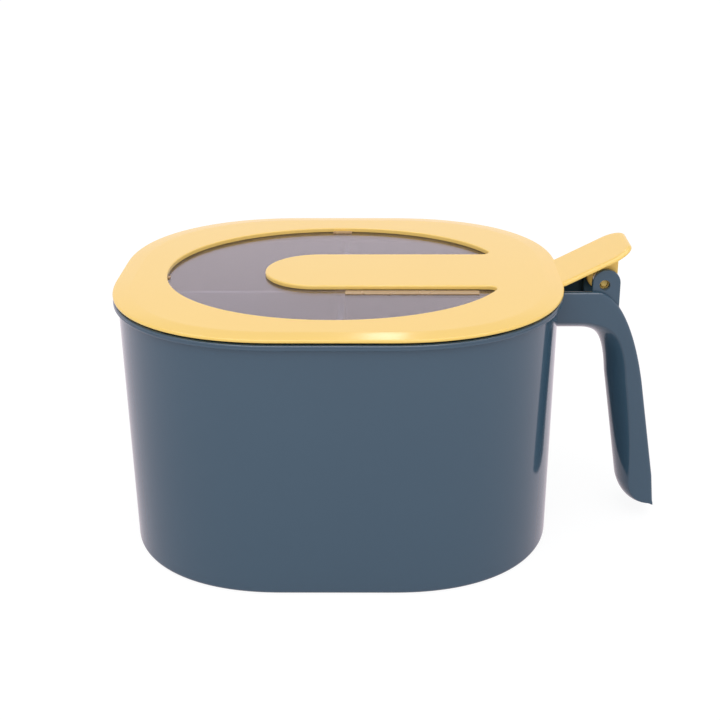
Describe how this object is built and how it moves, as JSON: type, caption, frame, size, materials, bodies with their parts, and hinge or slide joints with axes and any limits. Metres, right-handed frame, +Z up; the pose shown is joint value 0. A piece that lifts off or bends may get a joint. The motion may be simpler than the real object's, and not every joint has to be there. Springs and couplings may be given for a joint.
{
  "type": "spice box",
  "caption": "Oval-cornered spice box with a cross-divided inner liner, a side handle and a hinged lid with a clear oval window and thumb lever.",
  "frame": {"origin": "centre of the box's flat underside", "axes": "+X from the box towards the handle and hinge, +Z up, +Y towards the far long side"},
  "size_m": [0.2112, 0.154, 0.1145],
  "materials": {
    "box_plastic": "gloss",
    "liner_plastic": "gloss",
    "lid_plastic": "satin",
    "clear_plastic": "clear"
  },
  "bodies": {
    "body": {"outer_box": "box_plastic", "four_cell_liner": "liner_plastic", "spoon_back_right": "lid_plastic", "spoon_back_left": "lid_plastic", "spoon_front_left": "lid_plastic", "spoon_front_right": "lid_plastic"},
    "lid": {"lid_frame": "lid_plastic", "window_plate": "clear_plastic", "hinge_pin": "lid_plastic"}
  },
  "joints": [
    {"name": "lid_hinge", "type": "hinge", "parent": "body", "child": "lid", "pos_m": [0.1011, 0, 0.0999], "axis": [0, 1, 0], "range_deg": [0, 105]}
  ]
}
